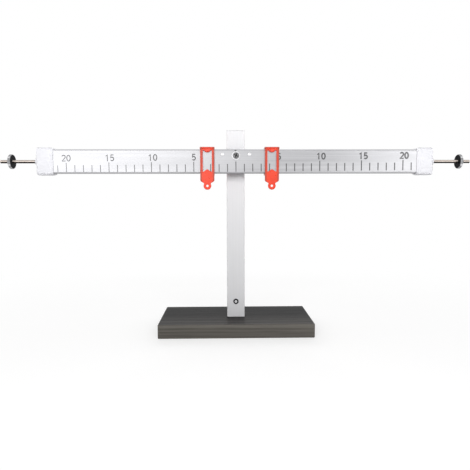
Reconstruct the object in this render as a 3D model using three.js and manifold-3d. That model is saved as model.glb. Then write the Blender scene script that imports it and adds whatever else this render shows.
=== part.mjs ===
// Lever balance for the physics bench: a graduated beam that tilts on a post, with two riders that slide
// along it and a thumb nut on a threaded rod at each end.
// Millimetres, +Z up. The origin is the middle of the base's underside. +X runs along the beam, and -Y is
// the side that the scale faces.

import * as THREE from 'three';
import { mergeVertices } from 'three/addons/utils/BufferGeometryUtils.js';
import Module from 'manifold-3d';

const wasm = await Module();
wasm.setup();

// Base
const baseLength = 188;
const baseDepth = 87;
const baseHeight = 17;
const baseCorner = 1.2;
const baseChamfer = 0.7;

// Post, a square tube that stands over a plug
const postWidth = 22;
const postWall = 1.5;
const postCorner = 1.3;
const postAbovePivot = 31.9;
const plugHeight = 30;
const plugChamfer = 1;

// Screws of the post and the base
const screwDiameter = 4;
const headRimShare = 0.4;
const recessDepthShare = 0.4;
const postScrewHead = 6.7;
const postScrewHeadHeight = 2.4;
const postScrewRise = 20.4;
const postScrewLength = 10;
const postScrewSlotLength = 4.2;
const postScrewSlotWidth = 0.9;
const baseScrewHead = 8;
const baseScrewHeadHeight = 2.4;
const baseScrewSpreadShare = 0.625;
const baseScrewRecess = 9;
const baseScrewGrip = 10;

// Beam, a hollow section
const beamLength = 464;
const beamHeight = 28.6;
const beamDepth = 12;
const beamWall = 1.2;
const beamCorner = 2;
const beamToPost = 5;

// Pivot
const pivotHeight = 217.1;
const pivotAboveMiddle = 6.5;
const boltDiameter = 5;
const boltPastNut = 3.45;
const boltHeadDiameter = 7.6;
const boltHeadHeight = 2.8;
const boltSlotLength = 5.2;
const boltSlotWidth = 1.2;
const boltSlotTurn = 22;
const washerDiameter = 10;
const washerThickness = 1;
const sleeveWall = 0.85;
const spacerWall = 1.85;
const bushWall = 0.9;
const axleNutFlats = 8;
const axleNutHeight = 5;
const blockLength = 46;
const rivetSpread = 32;
const rivetAbovePivot = 1.6;
const rivetDiameter = 3;
const rivetHeadDiameter = 4.4;
const rivetHeadHeight = 1.1;
const rivetTailHeight = 0.8;

// End caps, with the plugs that hold the rods. The right cap isn't pushed home, and stands off by a little.
const capReach = 19.2;
const capWall = 2;
const capEndWall = 2.2;
const capRound = 4;
const capEndRound = 2.6;
const capMouthRound = 0.9;
const capBossFoot = 11.6;
const capBossTip = 7;
const capBossHeight = 4.2;
const capBossRound = 0.8;
const rightCapStandOff = 1.2;
const endPlugLength = 14;

// Threaded rods and what is on them. The right rod stands out further, and the left rod runs deeper into the
// beam, so that the beam hangs level.
const rodDiameter = 4;
const rodChamfer = 0.5;
const leftRodReach = 47.3;
const rightRodReach = 51.5;
const leftRodLength = 76.4;
const rightRodLength = 73;
const rodNutFlats = 7;
const rodNutHeight = 3.2;
const leftNutReach = 34.15;
const rightNutReach = 38.45;
const nutDiameter = 17.3;
const nutThickness = 3.2;
const nutChamfer = 0.55;
const nutInsertDiameter = 6;
const nutGrooves = 48;
const nutGrooveDepth = 0.35;

// Riders
const leftRiderPlace = -34;
const rightRiderPlace = 42.6;
const riderWidth = 16.7;
const riderPlate = 2.4;
const riderBackWall = 2;
const riderTopWall = 2;
const riderFloorWall = 1.6;
const riderEdge = 0.45;
const riderCorner = 1;
const browWidth = 17.4;
const browHeight = 2.8;
const browProud = 0.7;
const windowWidth = 10.9;
const windowBelowTop = 1.8;
const windowAboveBottom = 1.5;
const tongueWidth = 7.4;
const tongueDrop = 2.2;
const tongueProud = 0.5;
const pointerHeight = 3.2;
const pointerFootRise = 0.9;
const pointerFootWidth = 7.8;
const pointerTipWidth = 0.8;
const apronDrop = 8.9;
const shoulderRound = 1.2;
const neckWidth = 8.2;
const neckDrop = 11.6;
const eyeDrop = 14.8;
const eyeDiameter = 9.4;
const eyeHole = 3;

// Clearances
const fitGap = 0.15;
const runningGap = 0.1;
const endFloat = 0.3;
const slideGap = 0.4;
const stackGap = 0.3;

// Fineness of round work, how far a cutter runs past what it cuts, and how near two points count as one
const roundSteps = 24;
const wheelSteps = 96;
const cornerSteps = 4;
const domeSteps = 4;
const overrun = 2;
const samePoint = 0.0001;

// Places and sizes that follow
const postTop = pivotHeight + postAbovePivot;
const postFront = -postWidth / 2;
const postInside = postWidth - 2 * postWall;
const plugWidth = postInside - 2 * fitGap;
const baseScrewSpread = plugWidth * baseScrewSpreadShare;
const beamMiddleY = postFront - beamToPost - beamDepth / 2;
const beamMiddleZ = pivotHeight - pivotAboveMiddle;
const beamFront = beamMiddleY - beamDepth / 2;
const beamInsideHeight = beamHeight - 2 * beamWall;
const beamInsideDepth = beamDepth - 2 * beamWall;
const boltHole = boltDiameter / 2 + fitGap;
const sleeveFront = beamFront - endFloat;
const sleeveRadius = boltHole + sleeveWall;
const bushBore = sleeveRadius + runningGap;
const bushRadius = bushBore + bushWall;
const bushHole = bushRadius + fitGap;
const screwHole = screwDiameter / 2 + fitGap;
const rivetHole = rivetDiameter / 2 + fitGap;
const rodHole = rodDiameter / 2 + fitGap;
const postScrewHeight = baseHeight + postScrewRise;
const capOuterEnd = beamLength / 2 + stackGap + capEndWall;
const leftRodTip = beamLength / 2 + leftRodReach;
const rightRodTip = beamLength / 2 + rightRodReach;
const leftNutPlace = beamLength / 2 + leftNutReach;
const rightNutPlace = beamLength / 2 + rightNutReach;

// Colours and finishes
const blackLacquer = { color: 0x26262a, roughness: 0.25, metalness: 0 };
const blackPlastic = { color: 0x1c1c1f, roughness: 0.5, metalness: 0 };
const brushedAluminium = { color: 0xc9ccd2, roughness: 0.35, metalness: 1 };
const steel = { color: 0x8d8a88, roughness: 0.3, metalness: 1 };
const darkSteel = { color: 0x4a4a4d, roughness: 0.35, metalness: 1 };
const brass = { color: 0xb08d4f, roughness: 0.35, metalness: 1 };
const whitePlastic = { color: 0xf2f1f7, roughness: 0.4, metalness: 0 };
const riderPlastic = { color: 0xf04a2c, roughness: 0.3, metalness: 0 };

// Turns from the frame a shape is drawn in to the frame of the object
const xAxis = new THREE.Vector3(1, 0, 0);
const yAxis = new THREE.Vector3(0, 1, 0);
const zAxis = new THREE.Vector3(0, 0, 1);
const minusY = new THREE.Vector3(0, -1, 0);
const minusZ = new THREE.Vector3(0, 0, -1);

// An outline drawn as seen from the front grows towards the viewer
const towardsFront = new THREE.Matrix4().makeBasis(xAxis, zAxis, minusY);
// An outline drawn as a cross-section (depth, height) grows along the beam
const alongBeam = new THREE.Matrix4().makeBasis(yAxis, zAxis, xAxis);
// A revolved profile has its axis on Y; these lay it along the beam or stand it up
const axisAlongBeam = new THREE.Matrix4().makeBasis(yAxis, xAxis, minusZ);
const axisUpright = towardsFront;

// Mesh with shared corners and without the collapsed faces that a revolved profile has on its axis
function closed(geometry) {
  const bare = new THREE.BufferGeometry();
  bare.setAttribute('position', geometry.getAttribute('position').clone());
  bare.setIndex(geometry.getIndex());
  const merged = mergeVertices(bare, samePoint);
  const corners = merged.getIndex().array;
  const kept = [];
  for (let i = 0; i < corners.length; i += 3) {
    const [a, b, c] = corners.slice(i, i + 3);
    if (a !== b && b !== c && c !== a) {
      kept.push(a, b, c);
    }
  }
  merged.setIndex(kept);
  return merged;
}

function toSolid(geometry) {
  const mesh = closed(geometry);
  return new wasm.Manifold(new wasm.Mesh({
    numProp: 3,
    vertProperties: new Float32Array(mesh.getAttribute('position').array),
    triVerts: new Uint32Array(mesh.getIndex().array),
  }));
}

function toGeometry(solid) {
  const mesh = solid.getMesh();
  const geometry = new THREE.BufferGeometry();
  geometry.setAttribute('position', new THREE.BufferAttribute(new Float32Array(mesh.vertProperties), 3));
  geometry.setIndex(new THREE.BufferAttribute(new Uint32Array(mesh.triVerts), 1));
  return geometry;
}

function joined(first, ...others) {
  return toGeometry(others.reduce((sum, other) => sum.add(toSolid(other)), toSolid(first)));
}

function cut(body, ...cutters) {
  return toGeometry(cutters.reduce((rest, cutter) => rest.subtract(toSolid(cutter)), toSolid(body)));
}

function common(first, second) {
  return toGeometry(toSolid(first).intersect(toSolid(second)));
}

function moved(geometry, x, y, z) {
  return geometry.clone().translate(x, y, z);
}

function turned(geometry, turn) {
  return geometry.clone().applyMatrix4(turn);
}

// A rectangle about the origin with round corners
function roundedRectangle(width, height, corner) {
  const x = width / 2;
  const y = height / 2;
  const shape = new THREE.Shape();
  shape.absarc(x - corner, y - corner, corner, 0, Math.PI / 2);
  shape.absarc(-x + corner, y - corner, corner, Math.PI / 2, Math.PI);
  shape.absarc(-x + corner, -y + corner, corner, Math.PI, 1.5 * Math.PI);
  shape.absarc(x - corner, -y + corner, corner, 1.5 * Math.PI, 2 * Math.PI);
  return shape;
}

// An outline grown from 0 to the given length, with its edges eased by the given amount
function extruded(shape, length, edge = 0, edgeSteps = 1) {
  const geometry = new THREE.ExtrudeGeometry(shape, {
    depth: length - 2 * edge,
    curveSegments: cornerSteps,
    bevelEnabled: edge > 0,
    bevelThickness: edge,
    bevelSize: edge,
    bevelOffset: -edge,
    bevelSegments: edgeSteps,
  });
  return geometry.translate(0, 0, edge);
}

// A profile of [radius, place along the axis] points, revolved about Y
function revolved(points, steps = roundSteps) {
  return new THREE.LatheGeometry(points.map(([radius, along]) => new THREE.Vector2(radius, along)), steps);
}

function ring(innerRadius, outerRadius, length, steps = roundSteps) {
  return revolved([
    [outerRadius, 0],
    [outerRadius, length],
    [innerRadius, length],
    [innerRadius, 0],
    [outerRadius, 0],
  ], steps);
}

function pin(radius, length, steps = roundSteps) {
  return revolved([[0, 0], [radius, 0], [radius, length], [0, length]], steps);
}

// Hexagon with the corners of its end faces turned off, its axis on Y, from 0 to the given height
function hexagon(acrossFlats, height) {
  const cornerRadius = acrossFlats / Math.sqrt(3);
  const faceRadius = acrossFlats / 2;
  const chamferHeight = (cornerRadius - faceRadius) / 2;
  const prism = new THREE.CylinderGeometry(cornerRadius, cornerRadius, height, 6).translate(0, height / 2, 0);
  const turnedCorners = revolved([
    [0, 0],
    [faceRadius, 0],
    [cornerRadius, chamferHeight],
    [cornerRadius, height - chamferHeight],
    [faceRadius, height],
    [0, height],
  ], roundSteps);
  return common(prism, turnedCorners);
}

// Skin through rings of points that are alike in number, closed by a flat face at each end
function lofted(rings) {
  const count = rings[0].length;
  const corners = rings.flat().flatMap((point) => [point.x, point.y, point.z]);
  const faces = [];
  for (let ringIndex = 0; ringIndex < rings.length - 1; ringIndex += 1) {
    for (let i = 0; i < count; i += 1) {
      const here = ringIndex * count + i;
      const next = ringIndex * count + ((i + 1) % count);
      faces.push(here, next, next + count, here, next + count, here + count);
    }
  }
  const last = (rings.length - 1) * count;
  for (let i = 1; i < count - 1; i += 1) {
    faces.push(0, i + 1, i, last, last + i, last + i + 1);
  }
  const geometry = new THREE.BufferGeometry();
  geometry.setAttribute('position', new THREE.Float32BufferAttribute(corners, 3));
  geometry.setIndex(faces);
  return geometry;
}

// A bar along +X whose section is a rounded rectangle, with a quarter-round at each end
function softEndedBar(length, depth, height, corner, startRound, endRound) {
  const section = (x, inset) => {
    const outline = roundedRectangle(depth - 2 * inset, height - 2 * inset, corner - inset);
    return outline.getPoints(cornerSteps).slice(0, -1).map((p) => new THREE.Vector3(x, p.x, p.y));
  };
  const quarter = (step) => (step / domeSteps) * (Math.PI / 2);
  const rings = [];
  for (let step = 0; step <= domeSteps; step += 1) {
    const angle = quarter(step);
    rings.push(section(startRound * (1 - Math.sin(angle)), startRound * (1 - Math.cos(angle))));
  }
  rings.reverse();
  for (let step = 0; step <= domeSteps; step += 1) {
    const angle = quarter(step);
    rings.push(section(length - endRound * (1 - Math.sin(angle)), endRound * (1 - Math.cos(angle))));
  }
  return lofted(rings);
}

function named(name, geometry, finish) {
  const mesh = new THREE.Mesh(closed(geometry), new THREE.MeshStandardMaterial(finish));
  mesh.name = name;
  return mesh;
}

// The mirror image of a piece across the middle of the beam
function mirrored(geometry) {
  const copy = geometry.clone().scale(-1, 1, 1);
  const index = Array.from(copy.getIndex().array);
  for (let i = 0; i < index.length; i += 3) {
    [index[i], index[i + 1]] = [index[i + 1], index[i]];
  }
  copy.setIndex(index);
  return copy;
}

// Base slab, with two stepped holes from below for the screws that hold the plug
function baseBlock() {
  const slab = extruded(roundedRectangle(baseLength, baseDepth, baseCorner), baseHeight, baseChamfer);
  const cutters = [];
  for (const side of [-1, 1]) {
    const x = (side * baseScrewSpread) / 2;
    const shankHole = turned(pin(screwHole, baseHeight + 2 * overrun), axisUpright);
    const headHole = turned(pin(baseScrewHead / 2 + slideGap, baseScrewRecess + overrun), axisUpright);
    cutters.push(moved(shankHole, x, 0, -overrun));
    cutters.push(moved(headHole, x, 0, -overrun));
  }
  return cut(slab, ...cutters);
}

// Plug inside the post's foot, tapped for the screws from below and for the cross screw
function postPlug() {
  const block = extruded(roundedRectangle(plugWidth, plugWidth, plugChamfer), plugHeight);
  const cutters = [];
  for (const side of [-1, 1]) {
    const depth = baseScrewGrip + overrun;
    const hole = turned(pin(screwHole, depth + overrun), axisUpright);
    cutters.push(moved(hole, (side * baseScrewSpread) / 2, 0, -overrun));
  }
  const crossHole = pin(screwHole, plugWidth / 2 + overrun);
  cutters.push(moved(crossHole, 0, -plugWidth / 2 - overrun, postScrewRise));
  return moved(cut(block, ...cutters), 0, 0, baseHeight);
}

// Pan-head screw with its axis on Y: the head is before 0 and the shank after it
function panHeadScrew(headDiameter, headHeight, shankDiameter, shankLength) {
  const radius = headDiameter / 2;
  const rimHeight = headHeight * headRimShare;
  const domeHeight = headHeight - rimHeight;
  const profile = [[0, -headHeight]];
  for (let step = 1; step <= domeSteps; step += 1) {
    const angle = (step / domeSteps) * (Math.PI / 2);
    profile.push([radius * Math.sin(angle), -rimHeight - domeHeight * Math.cos(angle)]);
  }
  profile.push([radius, 0]);
  profile.push([shankDiameter / 2, 0]);
  profile.push([shankDiameter / 2, shankLength]);
  profile.push([0, shankLength]);
  return revolved(profile);
}

// A cross recess in the crown of such a head, turned by the given number of degrees
function crossRecessed(screw, headHeight, slotLength, slotWidth, slotTurn) {
  const depth = 2 * headHeight * recessDepthShare;
  const slots = [
    new THREE.BoxGeometry(slotLength, depth, slotWidth),
    new THREE.BoxGeometry(slotWidth, depth, slotLength),
  ];
  const angle = THREE.MathUtils.degToRad(slotTurn);
  return cut(screw, ...slots.map((slot) => moved(slot.rotateY(angle), 0, -headHeight, 0)));
}

// Screw that holds the post to its plug
function postScrew() {
  const screw = panHeadScrew(postScrewHead, postScrewHeadHeight, screwDiameter, postScrewLength);
  const recessed = crossRecessed(screw, postScrewHeadHeight, postScrewSlotLength, postScrewSlotWidth, 0);
  return moved(recessed, 0, postFront, postScrewHeight);
}

function baseScrew(side) {
  const grip = baseHeight - baseScrewRecess + baseScrewGrip;
  const screw = panHeadScrew(baseScrewHead, baseScrewHeadHeight, screwDiameter, grip);
  return moved(turned(screw, axisUpright), (side * baseScrewSpread) / 2, 0, baseScrewRecess);
}

// Square tube, bored through for the pivot bolt and in its front wall for the cross screw
function postTube() {
  const outline = roundedRectangle(postWidth, postWidth, postCorner);
  outline.holes.push(roundedRectangle(postInside, postInside, postCorner / 2));
  const tube = moved(extruded(outline, postTop - baseHeight), 0, 0, baseHeight);
  const boltWay = moved(pin(boltHole, postWidth + 2 * overrun), 0, postFront - overrun, pivotHeight);
  const screwWay = moved(pin(screwHole, postWall + 2 * overrun), 0, postFront - overrun, postScrewHeight);
  return cut(tube, boltWay, screwWay);
}

// Pivot bolt, its head in front of the beam and its thread through the post
function axleBolt() {
  const headBack = sleeveFront - washerThickness;
  const tip = -postFront + washerThickness + axleNutHeight + boltPastNut;
  const bolt = panHeadScrew(boltHeadDiameter, boltHeadHeight, boltDiameter, tip - headBack);
  const recessed = crossRecessed(bolt, boltHeadHeight, boltSlotLength, boltSlotWidth, boltSlotTurn);
  return moved(recessed, 0, headBack, pivotHeight);
}

function axleWasher() {
  const washer = ring(boltHole, washerDiameter / 2, washerThickness);
  return moved(washer, 0, sleeveFront - washerThickness, pivotHeight);
}

function axleSleeve() {
  const sleeve = ring(boltHole, sleeveRadius, postFront - sleeveFront);
  return moved(sleeve, 0, sleeveFront, pivotHeight);
}

// Collar that keeps the beam off the post
function axleSpacer() {
  const length = beamToPost - endFloat;
  const bore = sleeveRadius + fitGap;
  const collar = ring(bore, bore + spacerWall, length);
  return moved(collar, 0, postFront - length, pivotHeight);
}

function rearWasher() {
  return moved(ring(boltHole, washerDiameter / 2, washerThickness), 0, -postFront, pivotHeight);
}

function axleNut() {
  const blank = hexagon(axleNutFlats, axleNutHeight);
  const bore = moved(pin(boltHole, axleNutHeight + 2 * overrun), 0, -overrun, 0);
  return moved(cut(blank, bore), 0, -postFront + washerThickness, pivotHeight);
}

// Holes across the beam for the bush and the rivets, in the beam's own frame
function pivotHoles() {
  const through = beamDepth + 2 * overrun;
  const holes = [moved(pin(bushHole, through), 0, -through / 2, pivotAboveMiddle)];
  for (const side of [-1, 1]) {
    const z = pivotAboveMiddle + rivetAbovePivot;
    holes.push(moved(pin(rivetHole, through), (side * rivetSpread) / 2, -through / 2, z));
  }
  return holes;
}

// The beam's own frame: its origin is the middle of the bar. Every shape from here on is drawn there.
function beamProfile() {
  const outline = roundedRectangle(beamDepth, beamHeight, beamCorner);
  outline.holes.push(roundedRectangle(beamInsideDepth, beamInsideHeight, beamCorner / 2));
  const bar = moved(turned(extruded(outline, beamLength), alongBeam), -beamLength / 2, 0, 0);
  return cut(bar, ...pivotHoles());
}

function bearingBlock() {
  const outline = roundedRectangle(beamInsideDepth - 2 * fitGap, beamInsideHeight - 2 * fitGap, beamCorner);
  const block = moved(turned(extruded(outline, blockLength), alongBeam), -blockLength / 2, 0, 0);
  return cut(block, ...pivotHoles());
}

function bearingBush() {
  return moved(ring(bushBore, bushRadius, beamDepth), 0, -beamDepth / 2, pivotAboveMiddle);
}

// Rivet through beam and block: a low dome in front and a flat tail behind
function rivet(side) {
  const profile = [[0, -rivetHeadHeight]];
  for (let step = 1; step <= domeSteps; step += 1) {
    const angle = (step / domeSteps) * (Math.PI / 2);
    profile.push([(rivetHeadDiameter / 2) * Math.sin(angle), -rivetHeadHeight * Math.cos(angle)]);
  }
  profile.push([rivetDiameter / 2, 0]);
  profile.push([rivetDiameter / 2, beamDepth]);
  profile.push([rivetHeadDiameter / 2, beamDepth]);
  profile.push([rivetHeadDiameter / 2, beamDepth + rivetTailHeight]);
  profile.push([0, beamDepth + rivetTailHeight]);
  const z = pivotAboveMiddle + rivetAbovePivot;
  return moved(revolved(profile), (side * rivetSpread) / 2, -beamDepth / 2, z);
}

// Moulded cap over the beam's right end, with a tapered boss where the rod comes out
function endCap() {
  const start = capOuterEnd - capReach;
  const depth = beamDepth + 2 * capWall;
  const height = beamHeight + 2 * capWall;
  const shell = softEndedBar(capReach, depth, height, capRound, capMouthRound, capEndRound);
  const boss = revolved([
    [0, -capEndWall / 2],
    [capBossFoot / 2, -capEndWall / 2],
    [capBossFoot / 2, 0],
    [capBossTip / 2, capBossHeight - capBossRound],
    [capBossTip / 2 - capBossRound, capBossHeight],
    [0, capBossHeight],
  ]);
  const pocketDepth = capReach - capEndWall;
  const pocketWidth = beamDepth + 2 * fitGap;
  const pocketHeight = beamHeight + 2 * fitGap;
  const pocket = new THREE.BoxGeometry(pocketDepth + overrun, pocketWidth, pocketHeight);
  const rodWay = turned(pin(rodHole, capEndWall + capBossHeight + 2 * overrun), axisAlongBeam);
  return cut(
    joined(moved(shell, start, 0, 0), moved(turned(boss, axisAlongBeam), capOuterEnd, 0, 0)),
    moved(pocket, start + (pocketDepth - overrun) / 2, 0, 0),
    moved(rodWay, capOuterEnd - capEndWall - overrun, 0, 0),
  );
}

// Plug that the rod is screwed into, just inside the beam's right end
function endPlug() {
  const outline = roundedRectangle(beamInsideDepth - 2 * fitGap, beamInsideHeight - 2 * fitGap, beamCorner);
  const block = turned(extruded(outline, endPlugLength), alongBeam);
  const rodWay = turned(pin(rodHole, endPlugLength + 2 * overrun), axisAlongBeam);
  const start = beamLength / 2 - endPlugLength;
  return moved(cut(block, moved(rodWay, -overrun, 0, 0)), start, 0, 0);
}

function rodNut() {
  const blank = hexagon(rodNutFlats, rodNutHeight);
  const bore = moved(pin(rodHole, rodNutHeight + 2 * overrun), 0, -overrun, 0);
  const nut = turned(cut(blank, bore), axisAlongBeam);
  return moved(nut, beamLength / 2 - endPlugLength - rodNutHeight, 0, 0);
}

function rod(tip, length) {
  const radius = rodDiameter / 2;
  const bar = revolved([
    [0, 0],
    [radius - rodChamfer, 0],
    [radius, rodChamfer],
    [radius, length - rodChamfer],
    [radius - rodChamfer, length],
    [0, length],
  ]);
  return moved(turned(bar, axisAlongBeam), tip - length, 0, 0);
}

// Wheel of the thumb nut: a chamfered disc whose rim is grooved along the axis
function nutWheel(place) {
  const radius = nutDiameter / 2;
  const grooved = new THREE.Shape();
  for (let i = 0; i < 2 * nutGrooves; i += 1) {
    const angle = (i / nutGrooves) * Math.PI;
    const reach = i % 2 === 0 ? radius : radius - nutGrooveDepth;
    const point = [reach * Math.cos(angle), reach * Math.sin(angle)];
    if (i === 0) {
      grooved.moveTo(...point);
    } else {
      grooved.lineTo(...point);
    }
  }
  grooved.closePath();
  const blank = turned(extruded(grooved, nutThickness), alongBeam);
  const disc = revolved([
    [0, 0],
    [radius - nutChamfer, 0],
    [radius, nutChamfer],
    [radius, nutThickness - nutChamfer],
    [radius - nutChamfer, nutThickness],
    [0, nutThickness],
  ], wheelSteps);
  const bore = pin(nutInsertDiameter / 2 + fitGap, nutThickness + 2 * overrun);
  const wheel = cut(
    common(blank, turned(disc, axisAlongBeam)),
    moved(turned(bore, axisAlongBeam), -overrun, 0, 0),
  );
  return moved(wheel, place - nutThickness / 2, 0, 0);
}

function nutInsert(place) {
  const insert = turned(ring(rodHole, nutInsertDiameter / 2, nutThickness), axisAlongBeam);
  return moved(insert, place - nutThickness / 2, 0, 0);
}

// Outline of the rider's front plate: a straight frame, an apron below the beam, sloping shoulders, a neck
// and a round eye. Drawn from the left side of the neck anticlockwise round the eye.
function riderOutline(beamTop, beamBottom) {
  const eyeRadius = eyeDiameter / 2;
  const eyeZ = beamBottom - eyeDrop;
  const neckAngle = Math.acos(neckWidth / eyeDiameter);
  const half = riderWidth / 2;
  const shoulderZ = beamBottom - apronDrop;
  const neckZ = beamBottom - neckDrop;
  const top = beamTop + stackGap + riderTopWall;
  const outline = new THREE.Shape();
  outline.absarc(0, eyeZ, eyeRadius, Math.PI - neckAngle, 2 * Math.PI + neckAngle);
  outline.lineTo(neckWidth / 2, neckZ);
  outline.lineTo(half - shoulderRound / 2, shoulderZ - shoulderRound / 2);
  outline.quadraticCurveTo(half, shoulderZ, half, shoulderZ + shoulderRound);
  outline.lineTo(half, top);
  outline.lineTo(-half, top);
  outline.lineTo(-half, shoulderZ + shoulderRound);
  outline.quadraticCurveTo(-half, shoulderZ, -half + shoulderRound / 2, shoulderZ - shoulderRound / 2);
  outline.lineTo(-neckWidth / 2, neckZ);
  return outline;
}

// Window that the scale is read through: a pointer rises from its sill and a tongue hangs from its head
function riderWindow(beamTop, beamBottom) {
  const half = windowWidth / 2;
  const head = beamTop - windowBelowTop;
  const sill = beamBottom + windowAboveBottom;
  const path = new THREE.Path();
  path.moveTo(-half, head);
  path.lineTo(-half, sill);
  path.lineTo(-pointerFootWidth / 2, sill + pointerFootRise);
  path.lineTo(-pointerTipWidth / 2, sill + pointerHeight);
  path.lineTo(pointerTipWidth / 2, sill + pointerHeight);
  path.lineTo(pointerFootWidth / 2, sill + pointerFootRise);
  path.lineTo(half, sill);
  path.lineTo(half, head);
  path.absellipse(0, head, tongueWidth / 2, tongueDrop, 0, Math.PI, true);
  return path;
}

// Rider, one moulding that wraps the beam: front plate, roof with its brow, back wall and a thin floor
function rider() {
  const beamTop = beamHeight / 2;
  const beamBottom = -beamHeight / 2;
  const passageFront = -beamDepth / 2 - slideGap;
  const passageBack = beamDepth / 2 + slideGap;
  const floorTop = beamBottom - slideGap;
  const roofTop = beamTop + stackGap + riderTopWall;
  const depth = passageBack + riderBackWall - passageFront + riderPlate;

  const frontOutline = riderOutline(beamTop, beamBottom);
  const eye = new THREE.Path();
  eye.absarc(0, beamBottom - eyeDrop, eyeHole / 2, 0, 2 * Math.PI, true);
  frontOutline.holes.push(riderWindow(beamTop, beamBottom), eye);
  const plate = turned(extruded(frontOutline, riderPlate, riderEdge, 2), towardsFront);

  const backHeight = roofTop - floorTop + riderFloorWall;
  const backOutline = roundedRectangle(riderWidth, backHeight, riderCorner);
  const back = turned(extruded(backOutline, riderBackWall, riderEdge), towardsFront);

  const roof = new THREE.BoxGeometry(riderWidth, depth - 2 * riderEdge, riderTopWall);
  const floor = new THREE.BoxGeometry(riderWidth, depth - 2 * riderEdge, riderFloorWall);
  const middleY = (passageFront - riderPlate + passageBack + riderBackWall) / 2;

  const browOutline = roundedRectangle(browProud + riderPlate, browHeight, riderPlate / 2);
  const brow = turned(extruded(browOutline, browWidth, riderEdge), alongBeam);
  const browY = passageFront - (browProud + riderPlate) / 2;

  const tongueOutline = new THREE.Shape();
  tongueOutline.absellipse(0, 0, tongueWidth / 2 - riderEdge, tongueDrop - riderEdge, Math.PI, 2 * Math.PI);
  tongueOutline.lineTo(tongueWidth / 2 - riderEdge, windowBelowTop);
  tongueOutline.lineTo(-tongueWidth / 2 + riderEdge, windowBelowTop);
  const tongueThickness = riderPlate / 2 + tongueProud;
  const tongue = turned(extruded(tongueOutline, tongueThickness, riderEdge / 2), towardsFront);

  return joined(
    moved(plate, 0, passageFront, 0),
    moved(back, 0, passageBack + riderBackWall, roofTop - backHeight / 2),
    moved(roof, 0, middleY, roofTop - riderTopWall / 2),
    moved(floor, 0, middleY, floorTop - riderFloorWall / 2),
    moved(brow, -browWidth / 2, browY, roofTop - browHeight / 2),
    moved(tongue, 0, passageFront - riderPlate / 2, beamTop - windowBelowTop),
  );
}

// The stand: base, post and the fixed half of the pivot
const stand = new THREE.Group();
stand.add(named('base_block', baseBlock(), blackLacquer));
stand.add(named('post_plug', postPlug(), blackPlastic));
stand.add(named('base_screw_left', baseScrew(-1), steel));
stand.add(named('base_screw_right', baseScrew(1), steel));
stand.add(named('post_tube', postTube(), brushedAluminium));
stand.add(named('post_screw', postScrew(), darkSteel));
stand.add(named('axle_bolt', axleBolt(), darkSteel));
stand.add(named('axle_washer', axleWasher(), steel));
stand.add(named('axle_sleeve', axleSleeve(), steel));
stand.add(named('axle_spacer', axleSpacer(), blackPlastic));
stand.add(named('rear_washer', rearWasher(), steel));
stand.add(named('axle_nut', axleNut(), steel));

// The beam and all that tilts with it
const beam = new THREE.Group();
beam.position.set(0, beamMiddleY, beamMiddleZ);
beam.add(named('beam_profile', beamProfile(), brushedAluminium));
beam.add(named('bearing_block', bearingBlock(), blackPlastic));
beam.add(named('bearing_bush', bearingBush(), brass));
beam.add(named('rivet_left', rivet(-1), steel));
beam.add(named('rivet_right', rivet(1), steel));

const capShape = closed(endCap());
beam.add(named('end_cap_left', mirrored(capShape), whitePlastic));
beam.add(named('end_cap_right', moved(capShape, rightCapStandOff, 0, 0), whitePlastic));

const endPieces = [
  ['end_plug', endPlug, blackPlastic],
  ['rod_nut', rodNut, steel],
];
for (const [name, make, finish] of endPieces) {
  const geometry = closed(make());
  beam.add(named(`${name}_left`, mirrored(geometry), finish));
  beam.add(named(`${name}_right`, geometry, finish));
}
beam.add(named('rod_left', mirrored(closed(rod(leftRodTip, leftRodLength))), steel));
beam.add(named('rod_right', rod(rightRodTip, rightRodLength), steel));
beam.add(named('balance_nut_left', nutWheel(-leftNutPlace), blackPlastic));
beam.add(named('balance_nut_right', nutWheel(rightNutPlace), blackPlastic));
beam.add(named('nut_insert_left', nutInsert(-leftNutPlace), darkSteel));
beam.add(named('nut_insert_right', nutInsert(rightNutPlace), darkSteel));

const riderShape = rider();
const riderLeft = named('rider_left', riderShape, riderPlastic);
riderLeft.position.x = leftRiderPlace;
const riderRight = named('rider_right', riderShape, riderPlastic);
riderRight.position.x = rightRiderPlace;
beam.add(riderLeft, riderRight);

const leverBalance = new THREE.Group();
leverBalance.name = 'lever_balance';
leverBalance.add(stand, beam);

export default leverBalance;
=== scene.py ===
# %% [markdown]
# # A lever balance
# A lever balance shows the law of the lever: a graduated beam tilts on a post, two riders slide along it, and
# a thumb nut at each end trims it level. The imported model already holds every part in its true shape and
# place, in metres, with +X along the beam and -Y towards the reader.
# This lesson keeps those shapes. It gives each part the finish of the real surface, and adds what is too
# fine for a solid model: the printed scale, the threads and the thin lips of the end caps.

# %% Load the model and keep its box
import math

import bpy
import numpy as np
from mathutils import Matrix, Vector


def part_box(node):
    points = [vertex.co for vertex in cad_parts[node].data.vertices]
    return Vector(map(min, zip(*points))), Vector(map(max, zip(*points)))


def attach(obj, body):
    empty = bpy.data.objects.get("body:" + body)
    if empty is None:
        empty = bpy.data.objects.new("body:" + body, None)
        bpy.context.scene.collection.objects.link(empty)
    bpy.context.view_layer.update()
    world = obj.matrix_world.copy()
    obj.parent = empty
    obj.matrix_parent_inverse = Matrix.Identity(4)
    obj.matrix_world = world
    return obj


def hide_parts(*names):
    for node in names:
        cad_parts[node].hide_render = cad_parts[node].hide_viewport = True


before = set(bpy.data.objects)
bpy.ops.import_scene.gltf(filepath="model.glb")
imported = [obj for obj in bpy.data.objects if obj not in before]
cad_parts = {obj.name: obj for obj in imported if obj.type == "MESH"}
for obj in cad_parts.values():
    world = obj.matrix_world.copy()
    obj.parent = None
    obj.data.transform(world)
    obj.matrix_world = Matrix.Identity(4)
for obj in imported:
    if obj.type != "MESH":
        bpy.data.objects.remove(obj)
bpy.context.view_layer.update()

mm = 0.001

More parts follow.
